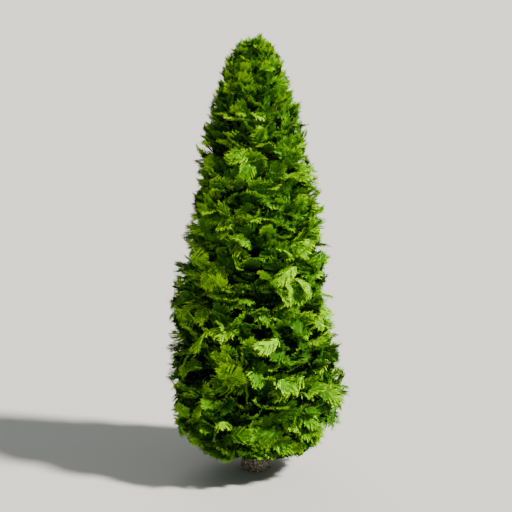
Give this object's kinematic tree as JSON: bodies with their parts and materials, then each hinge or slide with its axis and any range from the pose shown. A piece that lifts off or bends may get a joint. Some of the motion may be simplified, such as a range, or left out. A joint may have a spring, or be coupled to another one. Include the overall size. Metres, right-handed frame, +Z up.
{
  "type": "arborvitae tree",
  "caption": "Upright evergreen with a dense blunt-cone crown of flat overlapping sprays down to a short bare trunk, rooted in the ground.",
  "frame": {"origin": "middle of the flat cut under the trunk, at ground level", "axes": "+Z up along the trunk; +X and +Y level, the crown being much the same on all sides"},
  "size_m": [1.6649, 1.6324, 4],
  "materials": {
    "bark": "rough, fissured",
    "foliage": "matt green sprays of scale leaves"
  },
  "bodies": {
    "root": {"trunk": "bark", "foliage_01": "foliage", "foliage_02": "foliage", "foliage_03": "foliage", "foliage_04": "foliage", "foliage_05": "foliage", "foliage_06": "foliage", "foliage_07": "foliage", "foliage_08": "foliage", "foliage_09": "foliage", "foliage_10": "foliage", "foliage_11": "foliage", "foliage_12": "foliage", "foliage_13": "foliage", "foliage_14": "foliage", "foliage_15": "foliage", "foliage_16": "foliage", "foliage_17": "foliage", "foliage_18": "foliage", "foliage_19": "foliage", "foliage_20": "foliage", "foliage_21": "foliage", "foliage_22": "foliage", "foliage_23": "foliage", "foliage_24": "foliage", "foliage_25": "foliage", "foliage_26": "foliage", "foliage_27": "foliage", "foliage_28": "foliage", "foliage_29": "foliage", "foliage_30": "foliage", "foliage_31": "foliage", "foliage_32": "foliage", "foliage_33": "foliage", "foliage_34": "foliage", "foliage_35": "foliage", "foliage_36": "foliage", "foliage_leader": "foliage"}
  },
  "joints": []
}
